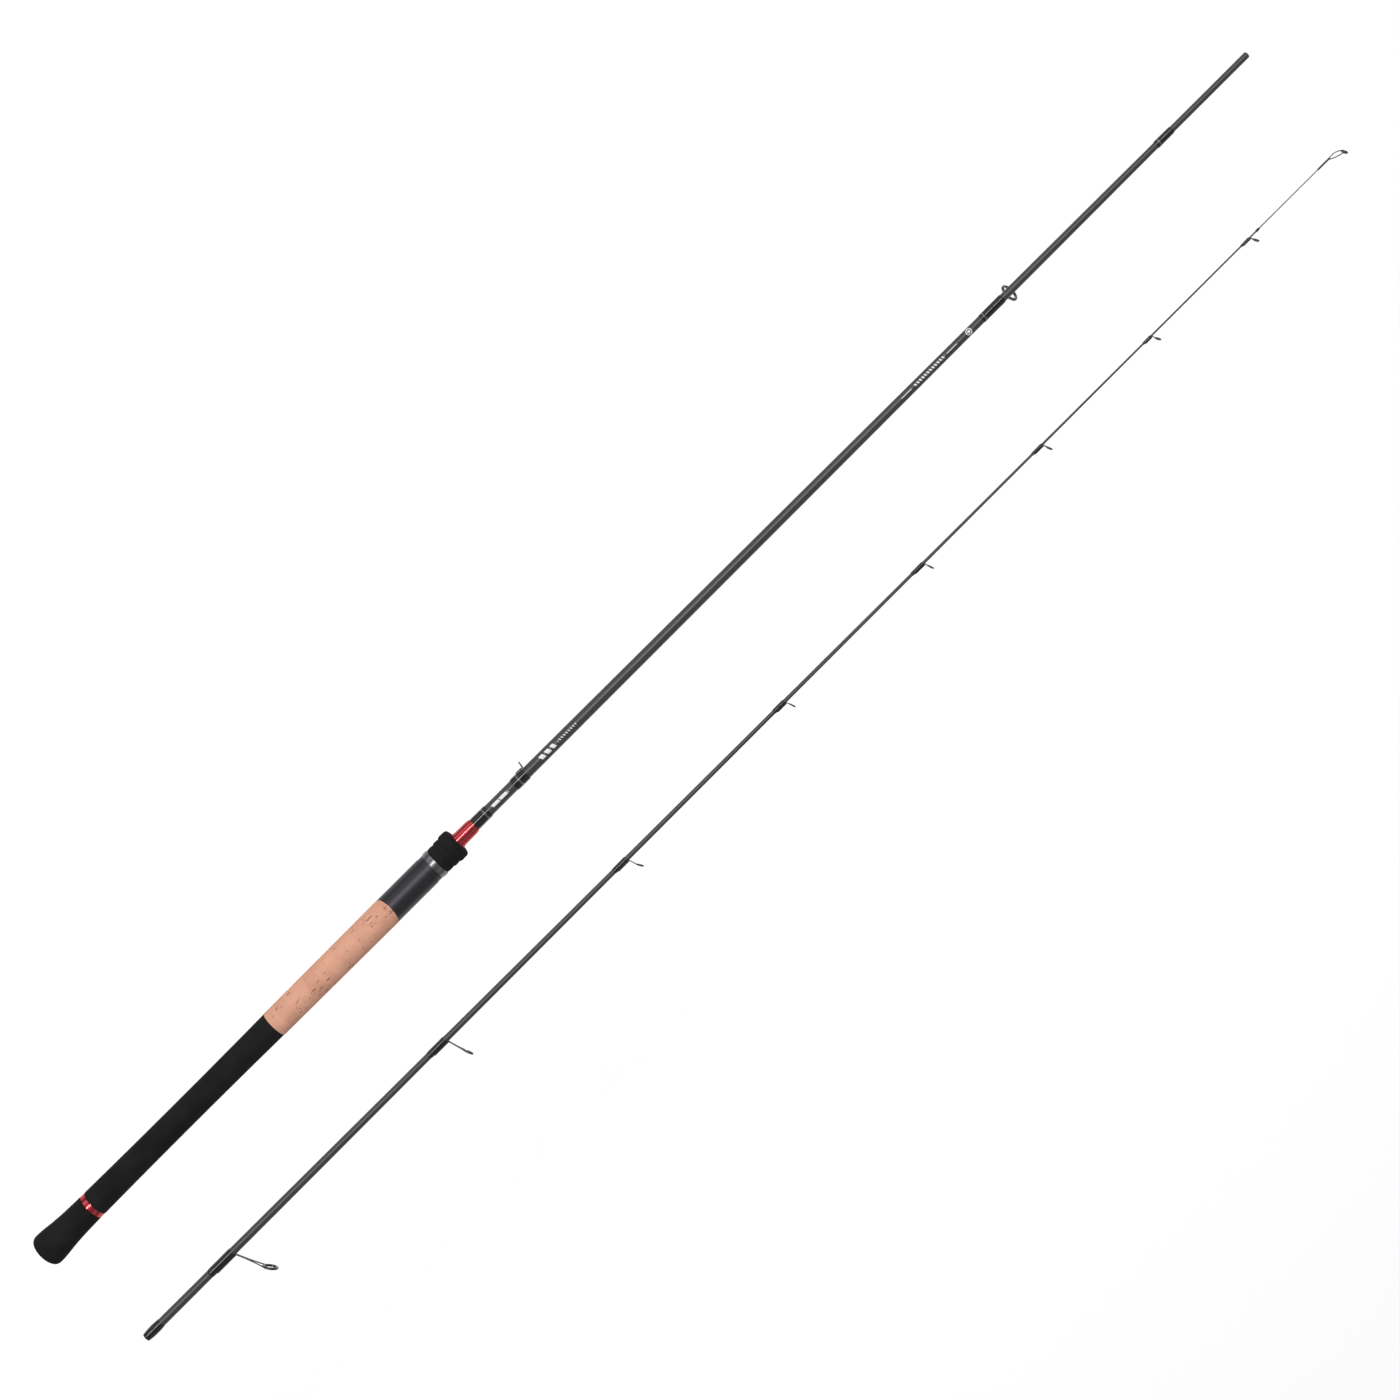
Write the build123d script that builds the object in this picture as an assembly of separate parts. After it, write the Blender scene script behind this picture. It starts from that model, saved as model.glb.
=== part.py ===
from build123d import *
import math
import os
from collections import namedtuple

# A two-piece spinning rod, taken apart, its sections side by side. Millimetres.
# X runs from butt to tip along the butt section's axis and +Z is the back of the rod: the reel and
# the first guide hang on the -Z side. X = 0 is the middle of a seated reel foot.

# Fits
RUN = 0.04                  # radial clearance of the ferrule and its sleeve
SLIDE = 0.15                # radial clearance of the hood and the lock nut on the seat
GAP = 0.3                   # gap between a moving piece and a face that it passes

# Butt section, lengths along X
KNOB_LENGTH = 56.1
KNOB_DOME = 8.2             # depth of the knob's domed end
KNOB_RING_LENGTH = 5.0
REAR_GRIP_LENGTH = 207.8
CORK_LENGTH = 131.2         # along the sides, where the slanted front edge crosses them
CORK_TO_FOOT = 30.7         # from the cork's front edge to the middle of the reel foot
STOP_WRAP_LENGTH = 18.0
BUTT_SECTION_LENGTH = 1396.4
BLANK_INSET = 3.0           # the butt blank stops short of the knob's end

# Grip radii
KNOB_RADIUS = 14.8
GRIP_RADIUS = 12.0
GRIP_WAIST_RADIUS = 11.4
CORK_REAR_RADIUS = 12.2
CORK_RADIUS = 12.7
CORK_RING_LENGTH = 11.0

# Reel seat
SEAT_RADIUS = 12.6
SEAT_FRONT = 16.1           # front end of the barrel
SEAT_SPIGOT_RADIUS = 9.0    # the tube that goes under the cork
SEAT_SPIGOT_LENGTH = 28.0
SEAT_BORE_RADIUS = 7.4
FOOT_BED = 9.8              # the bed's distance below the axis
FOOT_MOUTH = -21.0          # mouth of the fixed hood
POCKET_DEPTH = 11.5
POCKET_HEIGHT = 4.6
POCKET_WIDTH = 16.4
POCKET_CORNER = 1.6
HOOD_WALL = 1.7
HOOD_SLOPE = 4.6            # length of the slope at a hood's closed end
HOOD_CORNER = 5.2
SLANT = math.radians(24.5)  # slant of the cork's front edge
THREAD_RADIUS = 9.5
THREAD_DEPTH = 0.7
THREAD_PITCH = 2.0
THREAD_SPARE = 6.4          # thread left under the nut when it is run right out
KEY_WIDTH = 4.0
KEY_DEPTH = 1.4
ARBOR_LENGTH = 12.0
ARBOR_CENTRES = (-38.0, -8.0, 24.0)

# Sliding hood, lock nut and foregrip
COLLAR_LENGTH = 5.6
COLLAR_WALL = 2.6
HOOD_REACH = 9.2            # the pocket's length behind the collar
HOOD_TRAVEL = 20.0
NUT_RING_LENGTH = 5.7
NUT_WALL = 1.3
NUT_RING_WALL = 2.15        # on the nut
RIB_LENGTHS = (6.6, 6.0)    # the rear ribs; the front one covers what is left
RIB_WALLS = (1.55, 2.05, 2.75)
RIB_GROOVE = 0.75
RIM_FALL = 2.6              # how far the front rib falls away to its rim
LIP_LENGTH = 2.0
LIP_CLEARANCE = 0.3

# Winding check, keeper and wraps of the butt section
CHECK_LENGTH = 19.7
CHECK_RADIUS = 7.1
CHECK_WRAP_LENGTH = 16.4
WRAP_THICKNESS = 0.55
BAND_PROUD = 0.08
BAND_THICKNESS = 0.4
BAND_LENGTH = 1.8
KEEPER_WRAP_START = 116.2
KEEPER_WRAP_LENGTH = 13.8
KEEPER_LOOP_RADIUS = 2.6
KEEPER_WIRE_RADIUS = 0.5
KEEPER_FOOT_LENGTH = 6.0

# Ferrule: the butt section's thin end goes into the tip section's sleeve
FERRULE_RADIUS = 2.82
FERRULE_WALL = 0.92
FERRULE_STEP = 0.08         # from the ferrule up to the blank behind it
ENGAGEMENT = 82.0           # how deep the sections go into each other
FERRULE_LENGTH = ENGAGEMENT + 5.7
SLEEVE_WALL = 0.34
SLEEVE_LENGTH = ENGAGEMENT + 8
CUP_WALL = 0.48             # wall of the tip blank's mouth, around the sleeve
CUP_TAPER = 0.2             # what the mouth loses in radius over the sleeve
FERRULE_WRAP_LENGTH = 17.5
FERRULE_WRAP_HEIGHT = 0.73

# Blanks: (share of the blank's length from its butt end, outer radius) and their walls
CUP_RADIUS = FERRULE_RADIUS + 2 * RUN + SLEEVE_WALL + CUP_WALL
TIP_BLANK_LENGTH = 1288.0
BUTT_TAPER = ((0, 5.75), (0.436, 4.93), (0.665, 4.25), (0.829, 3.6), (1, FERRULE_RADIUS + FERRULE_STEP))
BUTT_WALL = 1.1
TIP_TAPER = (
    (0, CUP_RADIUS), ((SLEEVE_LENGTH + 4) / TIP_BLANK_LENGTH, CUP_RADIUS - CUP_TAPER), (0.127, 3.38),
    (0.255, 2.87), (0.407, 2.29), (0.56, 1.82), (0.751, 1.18), (0.866, 0.88), (1, 0.68))
TIP_WALL_SHARE = 0.36       # wall of the tip blank as a share of its radius

# Tip section
TIP_SPACING = 108.0         # from the butt section's axis, as the sections lie side by side
TIP_SETBACK = 13.2          # its butt end lies this far ahead of the knob's end
SOLID_TIP_RADIUS = 0.5
SOLID_TIP_END_RADIUS = 0.42
SOLID_TIP_LENGTH = 83.0     # what stands out of the tip blank
SPLICE_DEPTH = 25.0
SPLICE_WRAP_LENGTH = 4.6
TIP_TOP_TUBE_LENGTH = 13.6
TIP_TOP_RING = 6.1
TIP_TOP_REACH = 12.2        # the ring's centre beyond the solid tip
TIP_TOP_DROP = 5.0          # and below the axis
TIP_TOP_TILT = math.radians(22)
TIP_TOP_HOOP_WALL = 0.45
BRACE_RADIUS = 0.42

# Guides, from the butt: where the foot leaves the wrap (as a share of the blank's length), the
# wrap's length, the ring's outer diameter, its centre's height and reach beyond the foot, the tilt
Guide = namedtuple("Guide", "share wrap ring height reach tilt")
BUTT_GUIDE = Guide(0.8502, 24.6, 16.6, 33.0, 14.0, 36)
TIP_GUIDES = (
    Guide(0.0773, 25.4, 13.5, 30.9, 13.3, 36),
    Guide(0.2689, 18.9, 8.0, 21.1, 6.4, 24),
    Guide(0.4319, 14.8, 6.6, 11.5, 4.3, 31),
    Guide(0.5738, 12.3, 6.2, 6.8, 2.6, 18),
    Guide(0.6987, 13.2, 6.1, 6.5, 2.3, 18),
    Guide(0.8056, 11.5, 6.0, 6.2, 2.3, 20),
    Guide(0.9036, 9.0, 5.8, 5.6, 2.7, 26),
    Guide(0.9922, 9.9, 5.7, 5.2, 2.7, 26),
)
FOOT_THICKNESS = 0.7
FOOT_COVER = 0.35           # thread over a guide's foot
TWO_LEG_RING = 8.0          # a ring this large or larger stands on two legs


def turned(points):
    """The solid of revolution about X of an outline of (x, radius) points."""
    return revolve(make_face(Polyline(*points, close=True)), Axis.X)


def turned_wire(*edges):
    """The solid of revolution about X of a closed outline of lines and arcs."""
    return revolve(make_face(edges), Axis.X)


def tube(start, end, outer, inner):
    return turned([(start, inner), (end, inner), (end, outer), (start, outer)])


def rod(start, end, radius):
    return turned([(start, 0), (end, 0), (end, radius), (start, radius)])


def radius_at(taper, x):
    for (x0, r0), (x1, r1) in zip(taper, taper[1:]):
        if x <= x1:
            return r0 + (r1 - r0) * (x - x0) / (x1 - x0)
    return taper[-1][1]


def bar(start, end, radius):
    """A round bar between two points, with round ends."""
    start, end = Vector(start), Vector(end)
    run = end - start
    middle = (start + end) / 2
    shaft = Plane(origin=middle, z_dir=run) * Cylinder(radius, run.length)
    return shaft + Pos(start) * Sphere(radius) + Pos(end) * Sphere(radius)


def wire(start, middle, end, radius):
    """A round wire bent to the arc through three points, with round ends."""
    path = ThreePointArc(start, middle, end)
    section = Plane(origin=path @ 0, z_dir=path % 0) * Circle(radius)
    return sweep(section, path=path) + Pos(start) * Sphere(radius) + Pos(end) * Sphere(radius)


def wrap_shell(start, end, low, high):
    """A thread wrap under epoxy: low radius at its start, high at its end, with run-out slopes."""
    slope = min(1.2, (end - start) / 5)
    foot = WRAP_THICKNESS / 3
    return turned([
        (start, 0), (end, 0), (end, high - foot), (end - slope / 2, high),
        (start + slope, low), (start, low - foot * 1.4),
    ])


# ---- Butt blank ----
BUTT_END = -(CORK_TO_FOOT + CORK_LENGTH + REAR_GRIP_LENGTH + KNOB_RING_LENGTH + KNOB_LENGTH)
MALE_END = BUTT_END + BUTT_SECTION_LENGTH
MALE_START = MALE_END - FERRULE_LENGTH
BUTT_STATIONS = tuple((BUTT_END + share * (MALE_START - BUTT_END), r) for share, r in BUTT_TAPER)
BLANK_REAR = BUTT_END + BLANK_INSET

butt_outer = turned(
    [(BLANK_REAR, 0), (MALE_END, 0), (MALE_END, FERRULE_RADIUS - 0.5), (MALE_END - 0.5, FERRULE_RADIUS)]
    + [(MALE_START, FERRULE_RADIUS), (MALE_START, BUTT_STATIONS[-1][1])]
    + [(x, r) for x, r in reversed(BUTT_STATIONS[1:-1])]
    + [(BLANK_REAR, BUTT_STATIONS[0][1])]
)
butt_bore = turned(
    [(BUTT_END, 0), (MALE_END + 1, 0), (MALE_END + 1, FERRULE_RADIUS - FERRULE_WALL)]
    + [(MALE_START, FERRULE_RADIUS - FERRULE_WALL)]
    + [(x, r - BUTT_WALL) for x, r in reversed(BUTT_STATIONS[1:-1])]
    + [(BUTT_END, BUTT_STATIONS[0][1] - BUTT_WALL)]
)
butt_blank = butt_outer - butt_bore

# ---- Grips ----
KNOB_FRONT = BUTT_END + KNOB_LENGTH
GRIP_REAR = KNOB_FRONT + KNOB_RING_LENGTH
CORK_REAR = GRIP_REAR + REAR_GRIP_LENGTH
CORK_FRONT = CORK_REAR + CORK_LENGTH

knob_crown = BUTT_END + KNOB_DOME
knob_neck = (KNOB_RADIUS + GRIP_RADIUS) / 2
knob_dome = Spline(
    (BUTT_END, 0), (knob_crown - 0.8 * KNOB_DOME, 0.6 * KNOB_RADIUS), (knob_crown, KNOB_RADIUS),
    tangents=[(0, 1), (1, 0)])
knob_flare = Spline(
    (knob_crown, KNOB_RADIUS), (knob_crown + 0.3 * KNOB_LENGTH, knob_neck), (KNOB_FRONT, GRIP_RADIUS),
    tangents=[(1, 0), (1, -0.03)])
butt_knob = turned_wire(
    knob_dome, knob_flare, Line((KNOB_FRONT, GRIP_RADIUS), (KNOB_FRONT, 0)),
    Line((KNOB_FRONT, 0), (BUTT_END, 0))) - butt_outer

knob_ring = turned([
    (KNOB_FRONT, 0), (GRIP_REAR, 0), (GRIP_REAR, GRIP_RADIUS - 0.5), (GRIP_REAR - 0.7, GRIP_RADIUS - 0.1),
    (KNOB_FRONT + 0.7, GRIP_RADIUS - 0.1), (KNOB_FRONT, GRIP_RADIUS - 0.5)]) - butt_outer

grip_side = ThreePointArc(
    (GRIP_REAR + 0.9, GRIP_RADIUS), ((GRIP_REAR + CORK_REAR) / 2, GRIP_WAIST_RADIUS),
    (CORK_REAR, GRIP_RADIUS))
rear_grip = turned_wire(
    Line((GRIP_REAR, 0), (GRIP_REAR, GRIP_RADIUS - 0.7)),
    Line((GRIP_REAR, GRIP_RADIUS - 0.7), (GRIP_REAR + 0.9, GRIP_RADIUS)), grip_side,
    Line((CORK_REAR, GRIP_RADIUS), (CORK_REAR, 0)), Line((CORK_REAR, 0), (GRIP_REAR, 0))) - butt_outer

# the cork's front edge slants: it reaches further forward on the back of the rod
slant_shift = CORK_RADIUS * math.tan(SLANT)
slant_plane = Plane(origin=(CORK_FRONT, 0, 0), z_dir=(math.cos(SLANT), 0, -math.sin(SLANT)))
ahead_of_slant = slant_plane * Pos(0, 0, 60) * Box(120, 120, 120)

spigot_end = CORK_FRONT - slant_shift - SEAT_SPIGOT_LENGTH
cork_core = rod(spigot_end, 0, SEAT_SPIGOT_RADIUS) + butt_outer
ring_count = math.ceil((CORK_LENGTH + slant_shift) / CORK_RING_LENGTH)
cork_solids = []
for number in range(ring_count):
    start = CORK_REAR + number * CORK_RING_LENGTH
    end = start + CORK_RING_LENGTH
    swell = (CORK_RADIUS - CORK_REAR_RADIUS) / CORK_LENGTH
    low = min(CORK_RADIUS, CORK_REAR_RADIUS + swell * (start - CORK_REAR))
    high = min(CORK_RADIUS, CORK_REAR_RADIUS + swell * (end - CORK_REAR))
    ring = turned([(start, 0), (end, 0), (end, high), (start, low)]) - cork_core - ahead_of_slant
    cork_solids += ring.solids()
cork_rings = Compound(children=[s for s in cork_solids if s.volume > 20])

# ---- Reel seat ----
HOOD_OUT = FOOT_BED + POCKET_HEIGHT + HOOD_WALL
HOOD_WIDTH = POCKET_WIDTH + 2 * HOOD_WALL


def arch(start, end, width, depth, corner):
    """A block under the axis along X, from the axis down to depth, its lower edges rounded."""
    section = Pos(0, -depth / 2) * Rectangle(width, depth)
    section = fillet(section.vertices().group_by(Axis.Y)[0], corner)
    return extrude(Plane(origin=(start, 0, 0), x_dir=(0, 1, 0), z_dir=(1, 0, 0)) * section, end - start)


def pocket(start, end):
    """The hollow of a hood: as wide as the reel foot and as deep as the pocket, below the bed."""
    hollow = arch(start, end, POCKET_WIDTH, FOOT_BED + POCKET_HEIGHT, POCKET_CORNER)
    return hollow - Pos(0, 0, 50 - FOOT_BED) * Box(1000, 100, 100)


def ramp(x, side):
    """What a hood's closed end is cut off by: a slope from the barrel out to the hood's crown."""
    low = HOOD_OUT + 1
    outside = x - side * 9
    points = [(x, -SEAT_RADIUS), (x + side * HOOD_SLOPE, -low), (outside, -low), (outside, -SEAT_RADIUS)]
    return extrude(Plane.XZ * make_face(Polyline(*points, close=True)), 30, both=True)


barrel = rod(spigot_end, SEAT_FRONT, SEAT_RADIUS) & ahead_of_slant
bed_cut = Pos((FOOT_MOUTH + SEAT_FRONT + 2) / 2, 0, -FOOT_BED - 10) * Box(SEAT_FRONT + 2 - FOOT_MOUTH, 60, 20)
hood_rear = CORK_FRONT - slant_shift + 0.6
fixed_hood = arch(hood_rear - 6, FOOT_MOUTH, HOOD_WIDTH, HOOD_OUT, HOOD_CORNER) - ramp(hood_rear, 1)
fixed_hood = (fixed_hood & ahead_of_slant) - pocket(FOOT_MOUTH - POCKET_DEPTH, FOOT_MOUTH + 1)

COLLAR_START = SEAT_FRONT + 0.1
COLLAR_END = COLLAR_START + COLLAR_LENGTH
THREAD_FRONT = COLLAR_END + HOOD_TRAVEL + THREAD_SPARE


def threaded_tube(start, end):
    """The tube ahead of the barrel: ridges of the thread's pitch and depth on its root cylinder."""
    root = THREAD_RADIUS - THREAD_DEPTH
    outline = [(0, 0), (end, 0), (end, root)]
    for number in range(int((end - start) / THREAD_PITCH), 0, -1):
        ridge = start + number * THREAD_PITCH
        outline += [(ridge, root), (ridge - THREAD_PITCH * 0.35, THREAD_RADIUS),
                    (ridge - THREAD_PITCH * 0.5, THREAD_RADIUS), (ridge - THREAD_PITCH * 0.85, root)]
    return turned(outline + [(start, root), (0, root)])


spigot = rod(spigot_end, 0, SEAT_SPIGOT_RADIUS)
key_slot = Pos(SEAT_FRONT + 50, 0, -THREAD_RADIUS) * Box(100, KEY_WIDTH, 2 * KEY_DEPTH)
thread_tube = threaded_tube(SEAT_FRONT + THREAD_PITCH / 2, THREAD_FRONT) - key_slot
reel_seat = (barrel - bed_cut) + fixed_hood + spigot + thread_tube
reel_seat -= pocket(FOOT_MOUTH - POCKET_DEPTH, FOOT_MOUTH + 1)
reel_seat -= rod(spigot_end - 1, THREAD_FRONT + 1, SEAT_BORE_RADIUS)

arbor_solids = []
for centre in ARBOR_CENTRES:
    arbor = tube(centre - ARBOR_LENGTH / 2, centre + ARBOR_LENGTH / 2, SEAT_BORE_RADIUS, 1) - butt_outer
    arbor_solids += arbor.solids()
seat_arbors = Compound(children=arbor_solids)

# ---- Sliding hood: a collar on the threaded tube, keyed to it, with the front pocket ----
collar_bore = THREAD_RADIUS + SLIDE
hood_block = arch(COLLAR_START - HOOD_REACH, COLLAR_END, HOOD_WIDTH, HOOD_OUT, HOOD_CORNER)
hood_block -= ramp(COLLAR_END, -1)
hood_block -= Pos(0, 0, 50 - FOOT_BED - GAP) * Box(1000, 100, 100)
collar = rod(COLLAR_START, COLLAR_END, collar_bore + COLLAR_WALL)
behind_collar = Pos(COLLAR_START - 50, 0, 50 - FOOT_BED - GAP) * Box(100, 100, 100)
sliding_hood = (hood_block + collar) - behind_collar - pocket(COLLAR_START - HOOD_REACH - 1, COLLAR_END - 4)
sliding_hood -= rod(COLLAR_START - 30, COLLAR_END + 1, collar_bore)
key = Pos((COLLAR_START + COLLAR_END) / 2, 0, -(THREAD_RADIUS + SLIDE)) * Box(
    COLLAR_LENGTH, KEY_WIDTH - 2 * SLIDE, 2 * (KEY_DEPTH - SLIDE))
sliding_hood += key

# ---- Lock nut, its ring and the foregrip bonded on it ----
NUT_START = COLLAR_END + 0.1
FOREGRIP_START = NUT_START + NUT_RING_LENGTH
LIP_START = THREAD_FRONT + GAP + 0.1
FOREGRIP_END = LIP_START + LIP_LENGTH
nut_bore = THREAD_RADIUS + SLIDE
nut_outer = nut_bore + NUT_WALL
nut_ring_radius = nut_outer + NUT_RING_WALL
lip_radius = CHECK_RADIUS + LIP_CLEARANCE

lock_nut = tube(NUT_START, LIP_START, nut_outer, nut_bore)
nut_ring = turned_wire(
    Line((NUT_START, nut_outer), (FOREGRIP_START, nut_outer)),
    Line((FOREGRIP_START, nut_outer), (FOREGRIP_START, nut_ring_radius - 0.5)),
    ThreePointArc((FOREGRIP_START, nut_ring_radius - 0.5),
                  ((NUT_START + FOREGRIP_START) / 2, nut_ring_radius), (NUT_START, nut_ring_radius - 0.5)),
    Line((NUT_START, nut_ring_radius - 0.5), (NUT_START, nut_outer)))


def ribs():
    """The foregrip's outer edge, from its rear face: two crowned ribs and a larger one at the front."""
    lengths = (*RIB_LENGTHS, FOREGRIP_END - FOREGRIP_START - sum(RIB_LENGTHS))
    rear, valley, edge = FOREGRIP_START, nut_outer + RIB_WALLS[0] - RIB_GROOVE, []
    for length, wall in zip(lengths, RIB_WALLS):
        crown = nut_outer + wall
        front = wall == RIB_WALLS[-1]
        fall = RIM_FALL if front else 0.7 * RIB_GROOVE
        edge.append(Spline(
            (rear, valley), (rear + length * 0.16, crown - 0.16), (rear + length * 0.5, crown),
            (rear + length * 0.84, crown - (0.35 if front else 0.12)), (rear + length, crown - fall)))
        rear, valley = rear + length, crown - fall
    return edge


rim = nut_outer + RIB_WALLS[-1] - RIM_FALL
foregrip = turned_wire(
    Line((FOREGRIP_START, nut_outer), (FOREGRIP_START, nut_outer + RIB_WALLS[0] - RIB_GROOVE)), *ribs(),
    Line((FOREGRIP_END, rim), (FOREGRIP_END, lip_radius)),
    Line((FOREGRIP_END, lip_radius), (LIP_START, lip_radius)),
    Line((LIP_START, lip_radius), (LIP_START, nut_outer)),
    Line((LIP_START, nut_outer), (FOREGRIP_START, nut_outer)))

# ---- Winding check and the wraps of the butt section ----
check_start = THREAD_FRONT + GAP
check_end = FOREGRIP_END + CHECK_LENGTH
winding_check = turned_wire(
    Line((check_start, 0), (check_start, CHECK_RADIUS)),
    Line((check_start, CHECK_RADIUS), (FOREGRIP_END + 1.5, CHECK_RADIUS)),
    Line((FOREGRIP_END + 1.5, CHECK_RADIUS), (FOREGRIP_END + 3.2, CHECK_RADIUS - 0.4)),
    Line((FOREGRIP_END + 3.2, CHECK_RADIUS - 0.4), (check_end - 6, CHECK_RADIUS - 0.48)),
    ThreePointArc((check_end - 6, CHECK_RADIUS - 0.48), (check_end - 2.6, CHECK_RADIUS - 0.72),
                  (check_end, CHECK_RADIUS - 1.3)),
    Line((check_end, CHECK_RADIUS - 1.3), (check_end, 0)),
    Line((check_end, 0), (check_start, 0))) - butt_outer

check_wrap_end = check_end + CHECK_WRAP_LENGTH
check_high = radius_at(BUTT_STATIONS, check_end) + 0.72
check_wrap = wrap_shell(check_end, check_wrap_end, check_high, check_high - 0.1) - butt_outer

keeper_wrap_end = KEEPER_WRAP_START + KEEPER_WRAP_LENGTH
keeper_foot_y = radius_at(BUTT_STATIONS, keeper_wrap_end) + KEEPER_WIRE_RADIUS + 0.1
keeper_foot_start = keeper_wrap_end - KEEPER_FOOT_LENGTH
loop_centre = Vector(keeper_wrap_end + 1.7, keeper_foot_y + KEEPER_LOOP_RADIUS, 0)
loop_plane = Plane(origin=loop_centre, x_dir=(0, 0, 1), z_dir=(1, -0.16, 0))
loop = loop_plane * Torus(KEEPER_LOOP_RADIUS, KEEPER_WIRE_RADIUS)
loop_base = loop_centre + Vector(-0.16, -1, 0).normalized() * KEEPER_LOOP_RADIUS
keeper_foot = bar((keeper_foot_start, keeper_foot_y, 0), loop_base, KEEPER_WIRE_RADIUS)
hook_keeper = loop + keeper_foot
keeper_high = radius_at(BUTT_STATIONS, keeper_wrap_end) + WRAP_THICKNESS + 0.25
along_x = Rot(0, 90, 0)
keeper_cover = Pos(keeper_wrap_end - KEEPER_FOOT_LENGTH / 2, keeper_foot_y - 0.2, 0) * along_x
keeper_cover *= Cylinder(KEEPER_WIRE_RADIUS + WRAP_THICKNESS, KEEPER_FOOT_LENGTH)
keeper_wrap = wrap_shell(KEEPER_WRAP_START, keeper_wrap_end, keeper_high, keeper_high)
keeper_wrap = keeper_wrap + keeper_cover - butt_outer - hook_keeper

stop_wrap_start = MALE_START - STOP_WRAP_LENGTH
stop_high = radius_at(BUTT_STATIONS, stop_wrap_start) + 0.6
stop_wrap = wrap_shell(stop_wrap_start, MALE_START, stop_high, stop_high - 0.2) - butt_outer


# ---- Guides ----
def guide(spec, taper, envelope):
    """(frame, ring, wrap) of a single-foot guide under a section's axis, its ring at the tip side."""
    (start_x, _), *_, (end_x, _) = taper
    foot_x = start_x + spec.share * (end_x - start_x)
    blank = radius_at(taper, foot_x)
    tilt = math.radians(spec.tilt)
    big = spec.ring >= TWO_LEG_RING
    hoop_wall = 0.6 if big else 0.4
    hoop_width = 1.1 if big else 0.8
    leg = 0.55 if big else 0.42
    out = Vector(math.sin(tilt), 0, -math.cos(tilt))
    centre = Vector(foot_x + spec.reach, 0, -spec.height)
    plane = Plane(origin=centre, x_dir=(0, 1, 0), z_dir=(math.cos(tilt), 0, math.sin(tilt)))
    outer = spec.ring / 2
    ring_outer = outer - hoop_wall

    hoop = plane * (Cylinder(outer, hoop_width) - Cylinder(ring_outer, 2 * hoop_width))
    ring_wall = 0.135 * outer + 0.35
    ring_width = 0.1 * spec.ring + 0.75
    round_edge = 0.3 * min(ring_wall, ring_width)
    section = Pos(ring_outer - ring_wall / 2, 0) * RectangleRounded(ring_wall, ring_width, round_edge)
    ring = plane * revolve(Plane.XZ * section, Axis.Z)

    foot_width = 2.6 if big else 1.5
    foot_length = spec.wrap * 0.8
    foot_out = blank + FOOT_THICKNESS
    tongue = Pos(foot_x - foot_length / 2 + 0.6, 0, -foot_out / 2)
    tongue *= Box(foot_length + 1.2, foot_width, foot_out)
    point = Pos(foot_x - foot_length, 0, -foot_out) * Rot(0, 9, 0) * Box(foot_length, 6, 1.1)
    frame = hoop + (tongue - point)

    base_z = -(foot_out - leg * 0.55)
    hoop_mid = outer - hoop_wall / 2

    def on_hoop(side, spread):
        """The point on the hoop at an angle to the side from where it is nearest to the blank."""
        return centre - out * (hoop_mid * math.cos(spread)) + Vector(0, side * hoop_mid * math.sin(spread), 0)

    if big:
        for side in (-1, 1):
            start = Vector(foot_x + 0.9, side * (foot_width / 2 - leg * 0.8), base_z)
            end = on_hoop(side, math.radians(52))
            middle = start + (end - start) * 0.5 + Vector(0, -side * 0.1 * spec.ring, 0)
            frame += wire(start, middle, end, leg)
    else:
        for side in (-1, 1):
            start = Vector(foot_x + 0.9, side * 0.3, base_z)
            frame += bar(start, on_hoop(side, math.radians(28)), leg)
    frame = frame - envelope - plane * Cylinder(ring_outer, 3)

    start = foot_x - spec.wrap
    low = radius_at(taper, start) + WRAP_THICKNESS * 0.7
    high = blank + WRAP_THICKNESS
    shell = wrap_shell(start, foot_x, low, high)
    # the cover's crown hides the foot's corners
    cover_half = foot_width / 2 + 0.15
    cover_radius = (cover_half ** 2 + FOOT_COVER ** 2) / (2 * FOOT_COVER)
    cover_z = foot_out + FOOT_COVER - cover_radius
    cover = Pos(foot_x - foot_length / 2, 0, -cover_z) * Rot(0, 90, 0) * Cylinder(cover_radius, foot_length)
    wrap = shell + cover - envelope - frame
    return frame, ring, wrap


def guide_nodes(number, spec, taper, envelope):
    frame, ring, wrap = guide(spec, taper, envelope)
    return {f"guide_{number}_frame": frame, f"guide_{number}_ring": ring, f"guide_{number}_wrap": wrap}


def band(start, surface):
    """A silver thread band let into a wrap, a little proud of the wrap's surface radius."""
    outer = surface + BAND_PROUD
    return tube(start, start + BAND_LENGTH, outer, outer - BAND_THICKNESS) - butt_outer


butt_guide = guide_nodes(1, BUTT_GUIDE, BUTT_STATIONS, butt_outer)

# ---- Silver thread bands, wound in a gap of their wrap ----
guide_band_x = butt_guide["guide_1_wrap"].bounding_box().min.X + 2.4
guide_band_radius = radius_at(BUTT_STATIONS, guide_band_x) + WRAP_THICKNESS * 0.75
check_band = band(check_wrap_end - 4.6, check_high - 0.06)
keeper_band = band(keeper_foot_start - 0.7 - BAND_LENGTH, keeper_high)
guide_band = band(guide_band_x, guide_band_radius)
stop_band = band(stop_wrap_start + 2.2, stop_high)
check_wrap -= check_band
keeper_wrap -= keeper_band
butt_guide["guide_1_wrap"] -= guide_band
stop_wrap -= stop_band
butt_bands = Compound(children=[
    solid for thread in (check_band, keeper_band, guide_band, stop_band) for solid in thread.solids()])

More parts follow.
